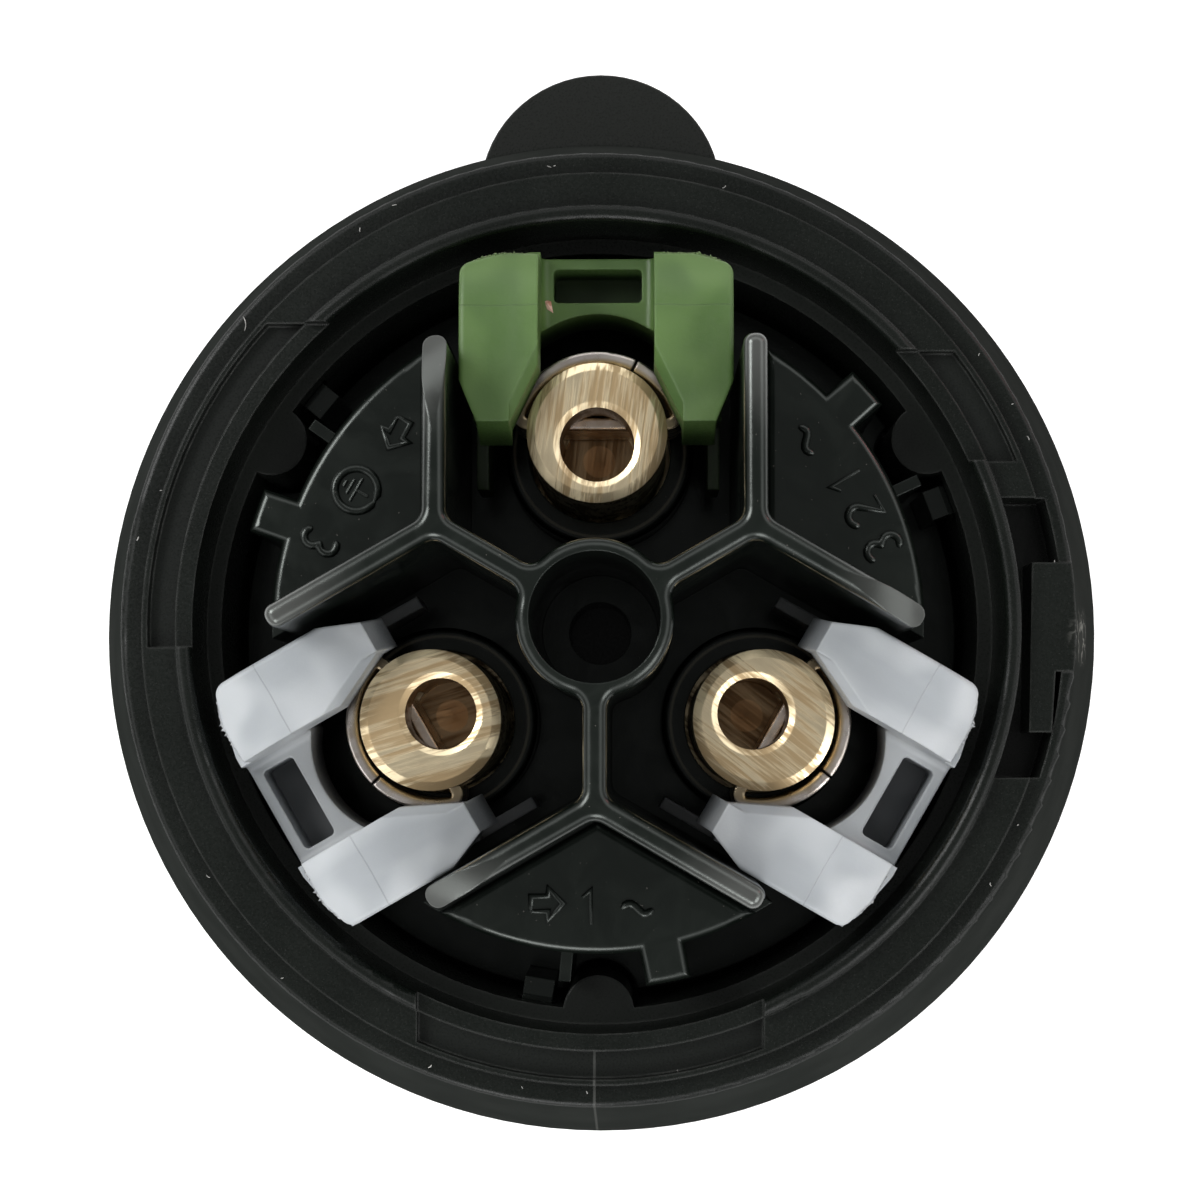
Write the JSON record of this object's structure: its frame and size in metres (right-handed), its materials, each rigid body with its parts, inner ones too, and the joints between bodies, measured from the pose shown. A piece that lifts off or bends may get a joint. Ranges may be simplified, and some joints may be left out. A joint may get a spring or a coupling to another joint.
{
  "type": "industrial plug",
  "caption": "Round pin-and-sleeve plug front with recessed pins in a keyed shroud, and push-down clamp terminals at the back.",
  "frame": {"origin": "on the axis of the shroud, in the plane of its front rim", "axes": "+Z along the shroud's axis from its front rim towards the cable side, +Y from the axis towards the lid lug and the earth terminal, +X to the right of them as seen from the cable side"},
  "size_m": [0.061, 0.0658, 0.064],
  "materials": {
    "shell_plastic": "satin",
    "carrier_plastic": "satin",
    "pin_brass": "brushed",
    "spring_steel": "brushed",
    "green_plastic": "satin",
    "grey_plastic": "satin"
  },
  "bodies": {
    "plug": {"front_shell": "shell_plastic", "carrier": "carrier_plastic", "earth_pin": "pin_brass", "earth_clamp_loop": "spring_steel", "line_pin": "pin_brass", "line_clamp_loop": "spring_steel", "neutral_pin": "pin_brass", "neutral_clamp_loop": "spring_steel"},
    "earth_slider": {"earth_slider": "green_plastic"},
    "line_slider": {"line_slider": "grey_plastic"},
    "neutral_slider": {"neutral_slider": "grey_plastic"}
  },
  "joints": [
    {"name": "earth_press", "type": "slide", "parent": "plug", "child": "earth_slider", "axis": [0, 0, -1], "range_m": [0, 0.0023]},
    {"name": "line_press", "type": "slide", "parent": "plug", "child": "line_slider", "axis": [0, 0, -1], "range_m": [0, 0.0023]},
    {"name": "neutral_press", "type": "slide", "parent": "plug", "child": "neutral_slider", "axis": [0, 0, -1], "range_m": [0, 0.0023]}
  ]
}
